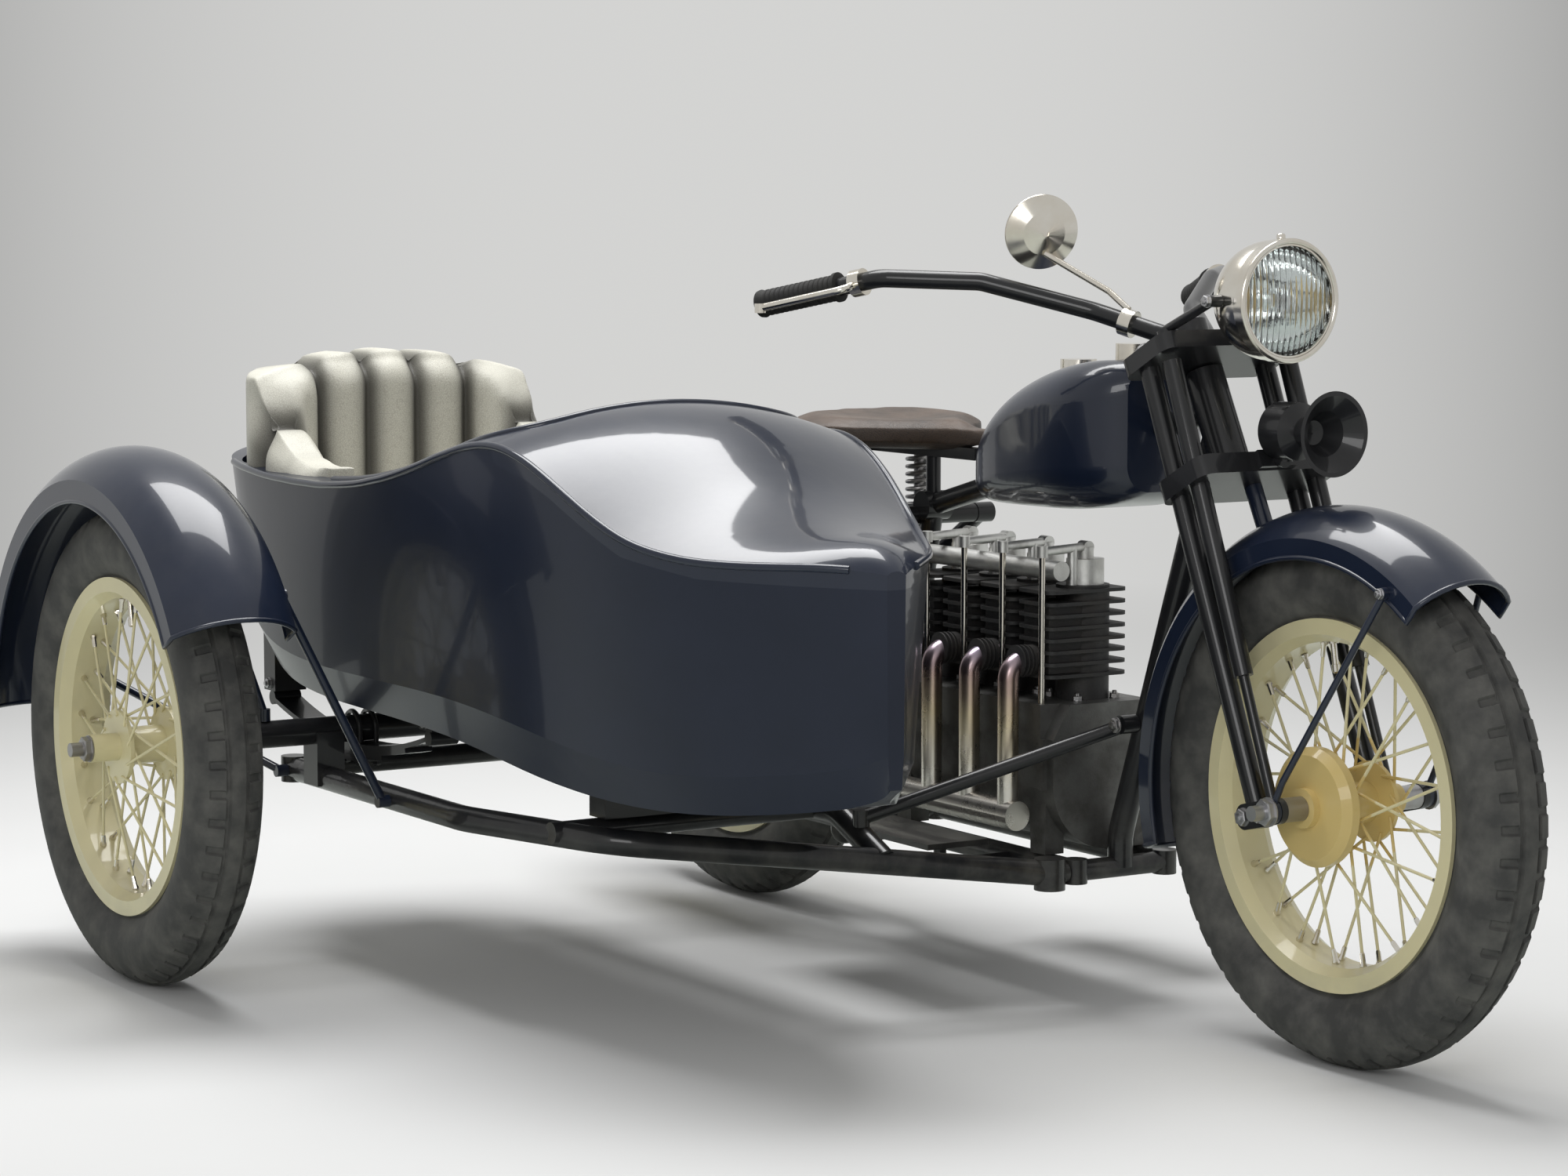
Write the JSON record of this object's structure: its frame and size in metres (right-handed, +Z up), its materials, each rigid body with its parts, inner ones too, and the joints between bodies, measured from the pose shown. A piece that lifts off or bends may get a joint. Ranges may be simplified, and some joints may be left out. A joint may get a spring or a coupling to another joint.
{
  "type": "sidecar motorcycle",
  "caption": "Motorcycle of an early kind with an in-line engine and a boat-shaped passenger sidecar on its right, with wire wheels, swept-back handlebar and deep mudguards.",
  "frame": {"origin": "on the ground under the middle of the outfit's box", "axes": "+X forward, +Y to the rider's left, +Z up"},
  "size_m": [2.2511, 1.6535, 1.1309],
  "materials": {
    "navy_paint": "gloss",
    "black_paint": "gloss",
    "cream_paint": "gloss",
    "nickel": "polished",
    "steel": "satin",
    "aluminium": "cast satin",
    "iron": "black stove enamel",
    "brass": "satin",
    "tyre": "matt",
    "rubber": "matt",
    "saddle_leather": "worn",
    "seat_leather": "soft",
    "lamp_glass": "clear"
  },
  "bodies": {
    "outfit": {"rear_axle": "steel", "rear_mudguard": "navy_paint", "crankcase": "aluminium", "cylinders": "iron", "valve_cages": "aluminium", "pushrods": "nickel", "inlet_manifold": "aluminium", "carburettor": "brass", "exhaust_pipes": "nickel", "silencer": "nickel", "gearbox": "aluminium", "drive_chain": "steel", "fuel_tank": "navy_paint", "filler_caps": "nickel", "saddle": "saddle_leather", "saddle_frame": "black_paint", "saddle_springs": "steel", "footboards": "black_paint", "tail_lamp": "black_paint", "sidecar_chassis": "black_paint", "sidecar_axle": "steel", "sidecar_struts": "black_paint", "sidecar_springs": "black_paint", "sidecar_deck": "navy_paint", "sidecar_hull": "navy_paint", "sidecar_brackets": "black_paint", "seat_cushion": "seat_leather", "seat_back": "seat_leather", "sidecar_mudguard": "navy_paint", "frame": "black_paint"},
    "steering": {"fork": "black_paint", "fork_springs": "black_paint", "fork_links": "black_paint", "front_axle": "steel", "front_mudguard": "navy_paint", "handlebar": "black_paint", "grips": "rubber", "control_levers": "nickel", "mirror": "nickel", "headlamp": "nickel", "headlamp_glass": "lamp_glass", "headlamp_bracket": "black_paint", "horn": "black_paint"},
    "front_wheel": {"front_tyre": "tyre", "front_rim": "cream_paint", "front_hub": "cream_paint"},
    "rear_wheel": {"rear_tyre": "tyre", "rear_rim": "cream_paint", "rear_hub": "cream_paint"},
    "sidecar_wheel": {"sidecar_tyre": "tyre", "sidecar_rim": "cream_paint", "sidecar_hub": "cream_paint"}
  },
  "joints": [
    {"name": "steering_turn", "type": "hinge", "parent": "outfit", "child": "steering", "pos_m": [0.50062, 0.40374, 0.82418], "axis": [-0.454, 0, 0.891], "range_deg": [-35, 35]},
    {"name": "front_wheel_spin", "type": "hinge", "parent": "steering", "child": "front_wheel", "pos_m": [0.78056, 0.40374, 0.345], "axis": [0, 1, 0], "continuous": true},
    {"name": "rear_wheel_spin", "type": "hinge", "parent": "outfit", "child": "rear_wheel", "pos_m": [-0.71944, 0.40374, 0.345], "axis": [0, 1, 0], "continuous": true},
    {"name": "sidecar_wheel_spin", "type": "hinge", "parent": "outfit", "child": "sidecar_wheel", "pos_m": [-0.55244, -0.71726, 0.345], "axis": [0, 1, 0], "continuous": true}
  ]
}
